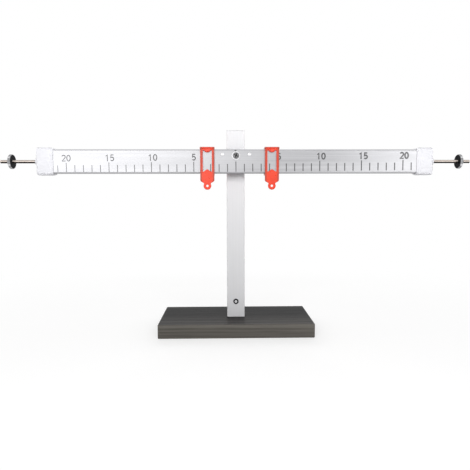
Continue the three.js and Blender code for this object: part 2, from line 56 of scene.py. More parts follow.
# %% [markdown]
# ## A way to write materials
# Every surface here is made from numbers, with no pictures: a noise is stretched the way the metal was
# brushed or the board was sawn, and it moves colour, roughness and height a little. A helper that adds nodes
# and links them keeps each recipe short. Patterns read Object coordinates, which are metres on the part, so
# a scale of 100 gives features of about a centimetre.

# %% Material helpers
def begin_material(name, **settings):
    """A new material, its Principled shader with the given sockets set, and its node tree."""
    material = bpy.data.materials.new(name)
    material.use_nodes = True
    tree = material.node_tree
    shader = tree.nodes["Principled BSDF"]
    for socket, value in settings.items():
        shader.inputs[socket.replace("_", " ")].default_value = value
    return material, tree, shader


def node(tree, kind, inputs=None, **attributes):
    """Adds a node, sets its attributes, and fills its inputs with values or links to other sockets."""
    made = tree.nodes.new(kind)
    for attribute, value in attributes.items():
        setattr(made, attribute, value)
    for socket, value in (inputs or {}).items():
        if isinstance(value, bpy.types.NodeSocket):
            tree.links.new(value, made.inputs[socket])
        else:
            made.inputs[socket].default_value = value
    return made


def stretched_noise(tree, stretch, detail=4.0, roughness=0.55):
    """Noise in object space; each of the three numbers is how many features a metre holds that way."""
    place = node(tree, "ShaderNodeTexCoord").outputs["Object"]
    mapped = node(tree, "ShaderNodeMapping", {"Vector": place, "Scale": stretch})
    made = node(tree, "ShaderNodeTexNoise", {
        "Vector": mapped.outputs["Vector"], "Scale": 1.0, "Detail": detail, "Roughness": roughness})
    return made.outputs["Fac"]


def between(tree, fac, low, high, start=0.3, end=0.7):
    """Spreads a noise value from start..end over low..high."""
    return node(tree, "ShaderNodeMapRange", {
        "Value": fac, "From Min": start, "From Max": end, "To Min": low, "To Max": high}).outputs["Result"]


def two_colours(tree, fac, dark, light, start=0.3, end=0.7):
    """A colour that goes from dark to light as the noise value goes from start to end."""
    ramp = node(tree, "ShaderNodeValToRGB", {"Fac": fac})
    ramp.color_ramp.elements[0].position = start
    ramp.color_ramp.elements[0].color = (*dark, 1)
    ramp.color_ramp.elements[1].position = end
    ramp.color_ramp.elements[1].color = (*light, 1)
    return ramp.outputs["Color"]


def raise_surface(tree, shader, height, distance, strength=0.5):
    """Feeds a height into the shader's normal as a bump of the given distance in metres."""
    bump = node(tree, "ShaderNodeBump", {"Height": height, "Distance": distance, "Strength": strength})
    tree.links.new(bump.outputs["Normal"], shader.inputs["Normal"])


def height_share(tree, start, end):
    """0 below the height start and 1 above the height end, in metres on the part."""
    place = node(tree, "ShaderNodeTexCoord").outputs["Object"]
    height = node(tree, "ShaderNodeSeparateXYZ", {"Vector": place}).outputs["Z"]
    return between(tree, height, 0.0, 1.0, start, end)


def axis_share(tree, axis_point, across, start, end):
    """0 near an axis and 1 far from it, between two radii.

    across is 1 for each direction in which the distance is measured and 0 along the axis.
    """
    place = node(tree, "ShaderNodeTexCoord").outputs["Object"]
    offset = node(tree, "ShaderNodeVectorMath", {0: place, 1: axis_point}, operation="SUBTRACT").outputs[0]
    flat = node(tree, "ShaderNodeVectorMath", {0: offset, 1: across}, operation="MULTIPLY").outputs[0]
    radius = node(tree, "ShaderNodeVectorMath", {0: flat}, operation="LENGTH").outputs["Value"]
    return between(tree, radius, 0.0, 1.0, start, end)


def blended(tree, share, first, second):
    """The first colour where the share is 0, the second where it is 1."""
    return node(tree, "ShaderNodeMix", {0: share, 6: first, 7: second}, data_type="RGBA").outputs[2]


def multiplied(tree, first, second):
    """Two colours multiplied together."""
    mix = node(tree, "ShaderNodeMix", {0: 1.0, 6: first, 7: second}, data_type="RGBA", blend_type="MULTIPLY")
    return mix.outputs[2]


# %% [markdown]
# ## Metals
# The beam is drawn aluminium, brushed lengthwise: hair lines run along the bar, so the noise is stretched
# a hundred and fifty times further that way than across. Its lower edge is painted darker as shade, and the
# upper one lighter as a painted highlight. The post is satin aluminium, etched before it was anodised, so it
# scatters most of what it gives back. Painted shade makes it greyer towards the foot and draws dark lines at
# its foot and along its top edge, and a painted highlight makes it lighter towards the top. The rivets are
# bright aluminium.

# %% Brushed and satin aluminium
def aluminium(name, metallic, gloss, dark, light, lines, cloud, rough_low, rough_high, tones):
    """Metal whose fine lines follow one axis, with a slow cloudiness over them.

    tones lists (tone, height there, height of the full colour). The colour is multiplied by the tone up to
    the first height and goes over to its full value at the second, which may lie above or below it.
    """
    material, tree, shader = begin_material(name, Metallic=metallic, Specular_IOR_Level=gloss)
    hair = stretched_noise(tree, lines, detail=3.0)
    slow = stretched_noise(tree, cloud, detail=2.0)
    mixed = node(tree, "ShaderNodeMath", {0: hair, 1: 0.6}, operation="MULTIPLY").outputs[0]
    mixed = node(tree, "ShaderNodeMath", {0: slow, 1: 0.4, 2: mixed}, operation="MULTIPLY_ADD").outputs[0]
    colour = two_colours(tree, mixed, dark, light)
    for tone, there, full in tones:
        shade = blended(tree, height_share(tree, there, full), (tone, tone, tone, 1), (1, 1, 1, 1))
        colour = multiplied(tree, colour, shade)
    tree.links.new(colour, shader.inputs["Base Color"])
    tree.links.new(between(tree, hair, rough_low, rough_high), shader.inputs["Roughness"])
    raise_surface(tree, shader, hair, 0.02 * mm)
    return material


beam_low, beam_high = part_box("beam_profile")
post_low, post_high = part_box("post_tube")
beam_tones = [
    (0.62, beam_low.z, beam_low.z + 0.4 * mm),  # painted shade on the lower edge
    (1.3, beam_high.z - 0.5 * mm, beam_high.z - 1.5 * mm),  # painted highlight on the upper edge
]
post_tones = [
    (0.81, post_low.z, post_low.z + 150 * mm),  # painted shade, greyer towards the foot
    (0.06, post_low.z + 0.3 * mm, post_low.z + 0.9 * mm),  # painted shadow where the post meets the base
    (1.1, post_high.z - 5 * mm, post_high.z - 50 * mm),  # painted highlight, lighter towards the top
    (0.75, post_high.z - 0.3 * mm, post_high.z - 0.8 * mm),  # painted shade along the top edge
]
beam_aluminium = aluminium(
    "beam_aluminium", metallic=1.0, gloss=0.5, dark=(0.42, 0.42, 0.435), light=(0.54, 0.54, 0.555),
    lines=(6, 900, 900), cloud=(9, 60, 60), rough_low=0.28, rough_high=0.4, tones=beam_tones)
post_aluminium = aluminium(
    "post_aluminium", metallic=0.05, gloss=0.25, dark=(0.79, 0.79, 0.805), light=(0.85, 0.85, 0.865),
    lines=(900, 900, 6), cloud=(60, 60, 9), rough_low=0.44, rough_high=0.56, tones=post_tones)
print("aluminium:", beam_aluminium.name, post_aluminium.name)

# %% Steel, zinc and brass
def plain_metal(name, dark, light, roughness, grain=700):
    """Metal of one colour with a fine even grain and a little tarnish."""
    material, tree, shader = begin_material(name, Metallic=1.0)
    grains = stretched_noise(tree, (grain, grain, grain), detail=3.0)
    tarnish = stretched_noise(tree, (90, 90, 90), detail=2.0)
    tree.links.new(two_colours(tree, tarnish, dark, light), shader.inputs["Base Color"])
    tree.links.new(between(tree, grains, roughness - 0.06, roughness + 0.08), shader.inputs["Roughness"])
    raise_surface(tree, shader, grains, 0.01 * mm)
    return material


zinc_steel = plain_metal("zinc_steel", (0.62, 0.62, 0.64), (0.74, 0.74, 0.76), roughness=0.28)
rivet_aluminium = plain_metal("rivet_aluminium", (0.78, 0.78, 0.79), (0.86, 0.86, 0.87), roughness=0.28)
bush_brass = plain_metal("bush_brass", (0.5, 0.36, 0.14), (0.62, 0.47, 0.2), roughness=0.32)
print("metals:", zinc_steel.name, rivet_aluminium.name, bush_brass.name)

# %% [markdown]
# ### Painted reflections on threads and screw heads, painted shade in recesses
# The rods are plain steel with a warm cast. A painted reflection lies on each: the half below the axis is
# painted dark, a band from just under the axis is bright, and the top is painted half as bright. A cross
# recess is painted dark as shade. The post's screw has a painted highlight on its crown and a rim painted
# black, and the pivot bolt's crown is painted darker than its rim, both painted reflections.

# %% Rod steel and screw heads
rod_low, rod_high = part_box("rod_left")
rod_axis_height = (rod_low.z + rod_high.z) / 2
# heights of the painted reflection on the rods: a darker top and a dark underside
dark_top_from, dark_top_full = rod_axis_height + 0.9 * mm, rod_axis_height + 1.4 * mm
dark_underside_to, bright_band_from = rod_axis_height - 0.4 * mm, rod_axis_height - 0.1 * mm
recess_from = 0.5 * mm
recess_edge = 0.1 * mm
crown_edge = 0.3 * mm


def steel_with_painted_reflection(name):
    """Warm bright steel from just under the rod's axis, painted half as bright on top and dark below the
    axis: a painted reflection.
    """
    material, tree, shader = begin_material(name, Metallic=1.0)
    streaks = stretched_noise(tree, (60, 900, 900), detail=3.0)
    bright = two_colours(tree, streaks, (0.7, 0.62, 0.56), (0.82, 0.74, 0.68))
    dark_top = height_share(tree, dark_top_from, dark_top_full)
    steel = multiplied(tree, bright, blended(tree, dark_top, (1, 1, 1, 1), (0.5, 0.5, 0.5, 1)))
    upper = height_share(tree, dark_underside_to, bright_band_from)
    # painted reflection: dark below the axis
    tree.links.new(blended(tree, upper, (0.035, 0.028, 0.024, 1), steel), shader.inputs["Base Color"])
    tree.links.new(between(tree, streaks, 0.26, 0.4), shader.inputs["Roughness"])
    raise_surface(tree, shader, streaks, 0.01 * mm)
    return material


def recessed_head(name, part, recess_radius, crown_radius, crown, rim):
    """Screw steel with a painted reflection, one tone on the crown and another towards the rim, and painted
    shade in the recess.

    The recess is what lies nearer the axis than its radius and deeper than recess_from behind the front.
    """
    material, tree, shader = begin_material(name, Metallic=1.0)
    low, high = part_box(part)
    middle = (low + high) / 2
    grains = stretched_noise(tree, (700, 700, 700), detail=3.0)
    speckle = two_colours(tree, grains, (0.8, 0.8, 0.8), (1.0, 1.0, 1.0))
    # the crown and rim tones are a painted reflection
    past_crown = axis_share(tree, middle, (1, 0, 1), crown_radius, crown_radius + crown_edge)
    steel = multiplied(tree, blended(tree, past_crown, (*crown, 1), (*rim, 1)), speckle)
    outside = axis_share(tree, middle, (1, 0, 1), recess_radius, recess_radius + recess_edge)
    place = node(tree, "ShaderNodeTexCoord").outputs["Object"]
    depth = node(tree, "ShaderNodeSeparateXYZ", {"Vector": place}).outputs["Y"]
    in_front = between(tree, depth, 1.0, 0.0, low.y + recess_from, low.y + recess_from + recess_edge)
    # painted shade in the recess
    outside_recess_shade = node(tree, "ShaderNodeMath", {0: outside, 1: in_front}, operation="MAXIMUM").outputs[0]
    tree.links.new(blended(tree, outside_recess_shade, (0.04, 0.04, 0.042, 1), steel), shader.inputs["Base Color"])
    tree.links.new(between(tree, grains, 0.28, 0.42), shader.inputs["Roughness"])
    raise_surface(tree, shader, grains, 0.01 * mm)
    return material


rod_steel = steel_with_painted_reflection("rod_steel")
# painted reflections: the bolt's crown darker than its rim, the screw's crown light and its rim black
bolt_steel = recessed_head(
    "bolt_steel", "axle_bolt", recess_radius=2.6 * mm, crown_radius=3.2 * mm,
    crown=(0.24, 0.24, 0.245), rim=(0.4, 0.4, 0.41))
screw_steel = recessed_head(
    "screw_steel", "post_screw", recess_radius=0.5 * mm, crown_radius=1.4 * mm,
    crown=(0.8, 0.8, 0.81), rim=(0.03, 0.03, 0.032))
print("threads and heads:", rod_steel.name, bolt_steel.name, screw_steel.name)

# %% [markdown]
# ## Plastics, board and ink
# The riders are an orange-red moulding with a gloss and the end caps a white one with a breath of blue. Each
# gets the faint mottle and orange peel of a mould. The bars of a rider's frame are painted darker than its
# apron as shade. A thumb nut's faces are painted black as a painted reflection of dark surroundings, and its
# rim is grey grooved metal.

# %% Moulded plastics
side_bar = 2.7 * mm
top_bar = 2.2 * mm
bar_edge = 0.6 * mm


def moulded_plastic(name, dark, light, roughness, peel=260, peel_height=0.03 * mm, frame_of=None):
    """Plastic with a slight mottle in its colour and the soft waviness that a mould leaves.

    frame_of names a part whose side bars and top bar get painted shade.
    """
    material, tree, shader = begin_material(name, Metallic=0.0, IOR=1.5)
    mottle = stretched_noise(tree, (110, 110, 110), detail=3.0)
    waves = stretched_noise(tree, (peel, peel, peel), detail=2.0)
    colour = two_colours(tree, mottle, dark, light)
    if frame_of:
        low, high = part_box(frame_of)
        half = (high.x - low.x) / 2
        painted_bar_shade = axis_share(tree, (low + high) / 2, (1, 0, 0), half - side_bar, half - side_bar + bar_edge)
        top = height_share(tree, high.z - top_bar, high.z - top_bar + bar_edge)
        # painted shade on the side bars and the top bar of the frame
        colour = multiplied(tree, colour, blended(tree, painted_bar_shade, (1, 1, 1, 1), (0.62, 0.95, 1.3, 1)))
        colour = multiplied(tree, colour, blended(tree, top, (1, 1, 1, 1), (0.8, 0.95, 1.2, 1)))
    tree.links.new(colour, shader.inputs["Base Color"])
    tree.links.new(between(tree, waves, roughness - 0.04, roughness + 0.06), shader.inputs["Roughness"])
    raise_surface(tree, shader, waves, peel_height)
    return material


rider_plastic = {
    side: moulded_plastic(
        "rider_plastic_" + side, dark=(0.88, 0.05, 0.014), light=(0.95, 0.064, 0.018), roughness=0.3,
        frame_of="rider_" + side)
    for side in ("left", "right")}
cap_plastic = moulded_plastic(
    "cap_plastic", dark=(0.925, 0.925, 0.97), light=(0.935, 0.935, 0.98), roughness=0.4,
    peel=90, peel_height=0.004 * mm)
inner_plastic = moulded_plastic(
    "inner_plastic", dark=(0.02, 0.02, 0.022), light=(0.035, 0.035, 0.038), roughness=0.5)
print("plastics:", [finish.name for finish in rider_plastic.values()], cap_plastic.name, inner_plastic.name)

# %% Thumb nuts
nut_low, nut_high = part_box("balance_nut_left")
nut_middle = (nut_low + nut_high) / 2
nut_radius = (nut_high.z - nut_low.z) / 2
nut_rim = 0.5 * mm
nut_rim_edge = 0.12 * mm


def nut_finish(name):
    """Black inside a radius just under the rim, a painted reflection of dark surroundings, and grey metal
    outside it, both with a fine grain.
    """
    material, tree, shader = begin_material(name, Specular_IOR_Level=0.02)
    grains = stretched_noise(tree, (500, 500, 500), detail=3.0)
    rim_from = nut_radius - nut_rim
    rim = axis_share(tree, nut_middle, (0, 1, 1), rim_from - nut_rim_edge, rim_from)
    # painted reflection of dark surroundings on the polished faces
    black = two_colours(tree, grains, (0.006, 0.006, 0.007), (0.018, 0.018, 0.021))
    grey = two_colours(tree, grains, (0.3, 0.3, 0.305), (0.42, 0.42, 0.43))
    tree.links.new(blended(tree, rim, black, grey), shader.inputs["Base Color"])
    tree.links.new(rim, shader.inputs["Metallic"])
    tree.links.new(between(tree, grains, 0.16, 0.28), shader.inputs["Roughness"])
    raise_surface(tree, shader, grains, 0.01 * mm)
    return material


nut_black = nut_finish("nut_black")
print("thumb nuts:", nut_black.name)

# %% [markdown]
# ### The base
# The base is a board under black lacquer: its grain runs along the length and shows as dull bands, brown and
# grey. The lacquer is thick on top and thin on the sawn sides, where the wood shows through it greyer. A
# painted reflection makes the top lighter towards the front edge.

# %% Lacquered board
base_low, base_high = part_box("base_block")
thin_coat_to, thick_coat_from = base_high.z - 0.6 * mm, base_high.z - 0.2 * mm


def lacquered_board(name):
    """Dark board: bands along its length, finer pores, black lacquer on top and a thinner coat at the sides.

    The top's colour is multiplied by a tone that grows from the middle to the front edge: a painted
    reflection.
    """
    material, tree, shader = begin_material(name, Metallic=0.0, IOR=1.5, Specular_IOR_Level=0.02)
    bands = stretched_noise(tree, (2.5, 130, 190), detail=3.0)
    pores = stretched_noise(tree, (25, 1500, 1500), detail=2.0)
    sides = two_colours(tree, bands, (0.115, 0.107, 0.096), (0.215, 0.202, 0.18), 0.35, 0.65)
    top = two_colours(tree, bands, (0.014, 0.014, 0.015), (0.035, 0.034, 0.034), 0.35, 0.65)
    place = node(tree, "ShaderNodeTexCoord").outputs["Object"]
    depth = node(tree, "ShaderNodeSeparateXYZ", {"Vector": place}).outputs["Y"]
    # painted reflection: the top lighter towards the front edge
    painted_front_reflection = between(tree, depth, 1.0, 0.0, base_low.y, (base_low.y + base_high.y) / 2)
    top = multiplied(tree, top, blended(tree, painted_front_reflection, (0.6, 0.6, 0.6, 1), (3.0, 2.9, 2.75, 1)))
    wood = blended(tree, height_share(tree, thin_coat_to, thick_coat_from), sides, top)
    streaks = two_colours(tree, pores, (0.75, 0.75, 0.75), (1.0, 1.0, 1.0))
    tree.links.new(multiplied(tree, wood, streaks), shader.inputs["Base Color"])
    tree.links.new(between(tree, pores, 0.26, 0.4), shader.inputs["Roughness"])
    raise_surface(tree, shader, pores, 0.02 * mm)
    return material


def printing_ink(name):
    """Dark glossy ink with small thin spots."""
    material, tree, shader = begin_material(name, Metallic=0.0, IOR=1.6, Specular_IOR_Level=1.0)
    spots = stretched_noise(tree, (1400, 1400, 1400), detail=2.0)
    ink = two_colours(tree, spots, (0.006, 0.006, 0.008), (0.02, 0.02, 0.024))
    tree.links.new(ink, shader.inputs["Base Color"])
    tree.links.new(between(tree, spots, 0.28, 0.4), shader.inputs["Roughness"])
    return material


base_lacquer = lacquered_board("base_lacquer")
scale_ink = printing_ink("scale_ink")
print("board and ink:", base_lacquer.name, scale_ink.name)

# %% Give every part of the model its finish
finish_of_parts = {
    base_lacquer: ["base_block"],
    post_aluminium: ["post_tube"],
    beam_aluminium: ["beam_profile"],
    cap_plastic: ["end_cap_left", "end_cap_right"],
    rider_plastic["left"]: ["rider_left"],
    rider_plastic["right"]: ["rider_right"],
    nut_black: ["balance_nut_left", "balance_nut_right", "nut_insert_left", "nut_insert_right"],
    rod_steel: ["rod_left", "rod_right"],
    zinc_steel: [
        "base_screw_left", "base_screw_right", "axle_washer", "axle_sleeve", "rear_washer", "axle_nut",
        "rod_nut_left", "rod_nut_right",
    ],
    rivet_aluminium: ["rivet_left", "rivet_right"],
    bolt_steel: ["axle_bolt"],
    screw_steel: ["post_screw"],
    bush_brass: ["bearing_bush"],
    inner_plastic: ["post_plug", "axle_spacer", "bearing_block", "end_plug_left", "end_plug_right"],
}
for finish, names in finish_of_parts.items():
    for name in names:
        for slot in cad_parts[name].material_slots:
            slot.material = finish
finished = sum(len(names) for names in finish_of_parts.values())
print("finished parts:", finished, "of", len(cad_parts))

# %% [markdown]
# ## New surfaces
# The print, the threads and the caps are worked out with numpy as whole arrays and put into a mesh in one
# go. A mesh made so stays exactly where its numbers say, its object at the origin, and it rides on a body of
# the model by name, so it tilts, slides or turns with it.

# %% Mesh helper
def new_piece(name, points, faces, body, slot, finish, smooth=False):
    """A mesh object from points in metres and faces that number them, riding on a body."""
    mesh = bpy.data.meshes.new(name)
    mesh.from_pydata(points.tolist(), [], [list(face) for face in faces])
    mesh.polygons.foreach_set("use_smooth", np.full(len(mesh.polygons), smooth))
    mesh.materials.append(finish)
    mesh.update()
    piece = bpy.data.objects.new(name, mesh)
    bpy.context.scene.collection.objects.link(piece)
    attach(piece, body)
    print(name, "points", len(points), "faces", len(faces), "rides on", body)
    return piece


def gathered(parts):
    """Joins (points, faces) pairs into one pair, moving each part's face numbers past those before it."""
    offsets = np.cumsum([0] + [len(points) for points, _ in parts])
    points = np.concatenate([points for points, _ in parts])
    faces = np.concatenate([faces + offset for (_, faces), offset in zip(parts, offsets)])
    return points, faces


# %% [markdown]
# ## The printed scale
# The scale is silk-screened ink: a long mark at every fifth centimetre, short ones between, and the numbers
# 5 to 20 both ways from the middle. It could be a texture, but ink as a very thin ribbon of its own stays
# sharp at any distance. One function does all of it: a rectangle of ink is carried along a path on the
# beam's face. On the real beam the print climbs a little to the right, and so it does here.

# %% Ink ribbons
beam_face = beam_low.y
ink_height = 0.04 * mm
ink_root = 0.01 * mm
corner_reach = 1.5


def ink_ribbon(path, width, closed=False):
    """A ribbon along a path of (x, z) points on the beam's face.

    At each point the ribbon's two edges stand half a width away, square to the mean direction of the two
    legs that meet there, and further by one over the cosine of half the turn, so that both legs keep their
    width; corner_reach limits that at sharp corners. The section is a rectangle from just under the face to
    the ink's height in front of it.
    """
    path = np.asarray(path, float)
    legs = np.roll(path, -1, axis=0) - path
    legs /= np.linalg.norm(legs, axis=1, keepdims=True)
    before, after = np.roll(legs, 1, axis=0), legs.copy()
    if not closed:
        before[0], after[-1] = legs[0], legs[-2]
    mean = before + after
    mean /= np.linalg.norm(mean, axis=1, keepdims=True)
    reach = 1 / np.maximum((mean * after).sum(axis=1), 1 / corner_reach)
    aside = np.stack([-mean[:, 1], mean[:, 0]], axis=1) * (reach * width / 2)[:, None]
    left, right = path + aside, path - aside
    front, back = beam_face - ink_height, beam_face + ink_root
    corners = [(left, front), (right, front), (right, back), (left, back)]
    rings = np.stack([np.stack([p[:, 0], np.full(len(p), y), p[:, 1]], axis=1) for p, y in corners], axis=1)
    count = len(path)
    here = np.arange(count if closed else count - 1)
    there = (here + 1) % count
    sides = [np.stack([here * 4 + i, here * 4 + j, there * 4 + j, there * 4 + i], axis=1)
             for i, j in ((0, 1), (1, 2), (2, 3), (3, 0))]
    faces = np.concatenate(sides)
    if not closed:
        ends = np.array([[3, 2, 1, 0], [4 * count - 4, 4 * count - 3, 4 * count - 2, 4 * count - 1]])
        faces = np.concatenate([faces, ends])
    return rings.reshape(-1, 3), faces


# %% [markdown]
# ### The marks
# The ink is laid on a little heavier towards the right end of the beam, so a mark's width grows evenly that
# way. A mark is a ribbon between two points. On the left the marks start where the beam's flat face does,
# since the climbing print would run off it there, and on the right they stand clear of its edge.

# %% Scale marks
print_climb = 0.0078
mark_foot = 198.3 * mm
short_mark = 9.2 * mm
long_mark = 12.1 * mm
mark_width = 0.85 * mm
mark_step = 10 * mm
marks_each_way = 21
flat_from = beam_low.z + 1.7 * mm
ink_spread = 1.2
ink_spread_change = 0.35
last_number_at = 200 * mm


def heavier(x):
    """How many times as wide the ink is at x: ink_spread at zero, the change more or less at the 20s."""
    return ink_spread + ink_spread_change * x / last_number_at


mark_parts = []
for count in range(-marks_each_way, marks_each_way + 1):
    x = count * mark_step
    foot = mark_foot + x * print_climb
    top = foot + (long_mark if count % 5 == 0 else short_mark)
    lean = print_climb * (top - foot)
    mark_parts.append(ink_ribbon([(x, max(foot, flat_from)), (x - lean, top)], mark_width * heavier(x)))
new_piece("scale_marks", *gathered(mark_parts), "beam", "dark_steel", scale_ink)

# %% [markdown]
# ### The numbers
# Each figure is drawn as the path of a pen in a box one unit high: straight strokes, and arcs given by a
# centre, two radii and two angles. The pen's path is then scaled, and a ribbon of ink follows it. Not every
# number is printed quite over its mark; number_shift says how far it stands to the right, in millimetres.

# %% Figures as pen paths
def arc(centre, radii, start, end, steps=14):
    """Points on an ellipse: centre + (radius_x cos a, radius_z sin a), for angles a in degrees."""
    angles = np.radians(np.linspace(start, end, steps))
    return np.stack([centre[0] + radii[0] * np.cos(angles), centre[1] + radii[1] * np.sin(angles)], axis=1)


figures = {
    "0": (arc((0.32, 0.5), (0.25, 0.43), 90, 435, 24), True),
    "1": (np.array([(0.1, 0.72), (0.33, 0.92), (0.33, 0.0)]), False),
    "2": (np.concatenate([arc((0.31, 0.69), (0.25, 0.24), 160, -30), [(0.08, 0.07), (0.6, 0.07)]]), False),
    "5": (np.concatenate([
        [(0.55, 0.93), (0.17, 0.93), (0.12, 0.5)], arc((0.31, 0.33), (0.25, 0.26), 125, -145)]), False),
}
figure_height = 7.8 * mm
figure_advance = 5.6 * mm
figure_width = 4.9 * mm
pen_width = 1.15 * mm
number_foot = 211.9 * mm
number_shift = {-200: 0.0, -150: 1.0, -100: 1.6, -50: 0.0, 50: 1.0, 100: 1.4, 150: 2.0, 200: 1.2}


def number_parts(text, middle, foot):
    """Ribbons for the figures of a number whose middle and foot are given in metres."""
    start = middle - ((len(text) - 1) * figure_advance + figure_width) / 2
    parts = []
    for place, figure in enumerate(text):
        path, closed = figures[figure]
        moved = path * figure_height + (start + place * figure_advance, foot)
        parts.append(ink_ribbon(moved, pen_width * heavier(middle), closed))
    return parts


number_ribbons = []
for place, shift in number_shift.items():
    middle = (place + shift) * mm
    number_ribbons += number_parts(str(abs(place) // 10), middle, number_foot + middle * print_climb)
new_piece("scale_numbers", *gathered(number_ribbons), "beam", "dark_steel", scale_ink)

# %% [markdown]
# ### The zero mark
# A small dark triangle above the pivot points down at zero. It is a stack of level rows that widen from the
# tip. Its upper end follows the beam's round corner, where a point lies behind the face by
# r - sqrt(r^2 - h^2), with the corner's radius r and the height h past the flat.

# %% Zero mark
zero_tip = np.array([-0.5 * mm, 221.3 * mm])
zero_half = 1.5 * mm
zero_height = 2.5 * mm
zero_blunt = 0.02
zero_rows = 8
beam_corner = 2.0 * mm

rise = np.linspace(zero_blunt, 1, zero_rows)
zero_z = zero_tip[1] + zero_height * rise
past_flat = np.maximum(zero_z - (beam_high.z - beam_corner), 0)
zero_y = beam_face + beam_corner - np.sqrt(beam_corner ** 2 - past_flat ** 2)
zero_rings = np.stack([
    np.stack([zero_tip[0] + side * zero_half * rise, zero_y + offset, zero_z], axis=1)
    for side, offset in ((-1, -ink_height), (1, -ink_height), (1, ink_root), (-1, ink_root))], axis=1)
here = np.arange(zero_rows - 1)
zero_faces = [np.stack([here * 4 + i, here * 4 + j, here * 4 + 4 + j, here * 4 + 4 + i], axis=1)
              for i, j in ((0, 1), (1, 2), (2, 3), (3, 0))]
last = 4 * (zero_rows - 1)
zero_faces = np.concatenate([*zero_faces, [[3, 2, 1, 0], [last, last + 1, last + 2, last + 3]]])
new_piece("zero_mark", zero_rings.reshape(-1, 3), zero_faces, "beam", "dark_steel", scale_ink)

# %% [markdown]
# ## Threaded rods
# The two rods are cut with a fine screw thread for the thumb nuts. A thread is a surface of two parameters:
# the angle round the rod and the way along it, with a radius that rises and falls once per pitch and leads
# the angle by one pitch a turn. Modelled so, it catches light in fine lines as the real one does, which a
# plain cylinder can't.

# %% Thread as a surface
thread_pitch = 0.7 * mm
thread_depth = 0.2 * mm
crest_share = 0.5
around = 24
rings_per_pitch = 6
end_chamfer = 0.5 * mm


def threaded_rod(start, end, height, across, radius):
    """A screw-cut rod along X from start to end, its axis at the given height z and place across y.

    With w = |2 * frac(x / pitch - a / turn) - 1|, where frac is the part after the point, the radius is full
    while w is under crest_share and then falls evenly by the depth. Within a chamfer of each end it also
    falls off at 45 degrees. Each end is closed.
    """
    rings = int(round((end - start) / thread_pitch * rings_per_pitch)) + 1
    angles = np.arange(around) * 2 * np.pi / around
    x, angle = np.meshgrid(np.linspace(start, end, rings), angles, indexing="ij")
    wave = np.abs(2 * np.mod(x / thread_pitch - angle / (2 * np.pi), 1) - 1)
    depth = thread_depth * np.clip((wave - crest_share) / (1 - crest_share), 0, 1)
    from_end = np.minimum(x - start, end - x)
    reach = radius - np.maximum(depth, end_chamfer - from_end)
    points = np.stack([x, across - reach * np.sin(angle), height + reach * np.cos(angle)], axis=-1)
    ring, place = np.meshgrid(np.arange(rings - 1), np.arange(around), indexing="ij")
    next_place = (place + 1) % around
    quads = np.stack([ring * around + place, ring * around + next_place,
                      (ring + 1) * around + next_place, (ring + 1) * around + place], axis=-1)
    faces = quads.reshape(-1, 4).tolist()
    faces.append(list(range(around))[::-1])
    faces.append(list(range((rings - 1) * around, rings * around)))
    return points.reshape(-1, 3), faces


for side in ("left", "right"):
    low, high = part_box("rod_" + side)
    middle = (low + high) / 2
    rod = new_piece(
        "threaded_rod_" + side,
        *threaded_rod(low.x, high.x, middle.z, middle.y, (high.z - low.z) / 2),
        "beam", "rod_steel", rod_steel, smooth=False)
    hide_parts("rod_" + side)

# %% [markdown]
# ## End caps
# A cap is a soft white moulding. Its long edges are round and its outer end rounder still; towards the mouth
# the wall thins to a lip, so that it hugs the beam with hardly a step, and at the end the rod comes out of a
# tapered boss. The whole skin is one closed chain of rings, from the hole in the end wall through the pocket
# to the lip, over the outside to the boss, and back into the hole.

# %% End caps as chains of rings
ring_steps = 8
curve_rings = 7
lip_wall = 0.35 * mm
lip_reach = 5.0 * mm
lip_height_share = 0.6
cap_corner = 3.4 * mm
cap_end_round = 1.8 * mm
pocket_gap = 0.15 * mm
pocket_corner = 2.1 * mm
pocket_depth = 17.0 * mm
cap_reach = 19.2 * mm
hole_radius = 2.15 * mm
boss_foot_width, boss_foot_height = 9.2 * mm, 11.6 * mm
boss_tip_width = 7.0 * mm
boss_end_width = 5.6 * mm
boss_ring_shares = (0.0, 0.3, 0.6, 0.82)
boss_flat = 0.1 * mm
boss_short = 0.9 * mm


def section_ring(width, height, corner):
    """Points (y, z) of a rounded rectangle about the origin, a circle where both sides are two corners long.

    Every quarter has the same number of points, centre + corner * (cos a, sin a) with the angles a in the
    middle of equal steps, so points of rings of different shape match and none coincide.
    """
    steps = (np.arange(ring_steps) + 0.5) * (np.pi / 2) / ring_steps
    quarters = []
    for quarter, (y_side, z_side) in enumerate(((1, 1), (-1, 1), (-1, -1), (1, -1))):
        angle = steps + quarter * np.pi / 2
        centre = np.array([y_side * (width / 2 - corner), z_side * (height / 2 - corner)])
        quarters.append(centre + corner * np.stack([np.cos(angle), np.sin(angle)], axis=1))
    return np.concatenate(quarters)


def cap_sections(depth, height, beam_depth, beam_height, tip):
    """The chain of a cap: (way out from the mouth, depth, height, corner) of each ring.

    Over the lip the inset from the full depth is (1 - way / reach) squared times the inset at the mouth, and
    the height has only a share of it; over the end the inset follows a quarter circle. The boss narrows
    evenly from its foot and is rounded off behind its tip.
    """
    pocket = (beam_depth + 2 * pocket_gap, beam_height + 2 * pocket_gap, pocket_corner)
    hole = (2 * hole_radius, 2 * hole_radius, hole_radius)
    chain = [(pocket_depth, *hole), (pocket_depth, *pocket), (0.0, *pocket)]
    lip_inset = depth / 2 - pocket[0] / 2 - lip_wall
    for share in np.linspace(0, 1, curve_rings):
        inset = lip_inset * (1 - share) ** 2
        tall = height - 2 * inset * lip_height_share
        chain.append((share * lip_reach, depth - 2 * inset, tall, cap_corner - inset))
    for angle in np.linspace(0, np.pi / 2, curve_rings):
        inset = cap_end_round * (1 - math.cos(angle))
        way = cap_reach - cap_end_round * (1 - math.sin(angle))
        chain.append((way, depth - 2 * inset, height - 2 * inset, cap_corner - inset))
    for share in boss_ring_shares:
        width = boss_foot_width + (boss_tip_width - boss_foot_width) * share
        tall = boss_foot_height + (boss_tip_width - boss_foot_height) * share
        way = cap_reach + (tip - cap_reach) * share
        chain.append((way, width, tall, width / 2 - boss_flat * (1 - share)))
    chain.append((tip, boss_end_width, boss_end_width, boss_end_width / 2))
    chain.append((tip, *hole))
    return chain


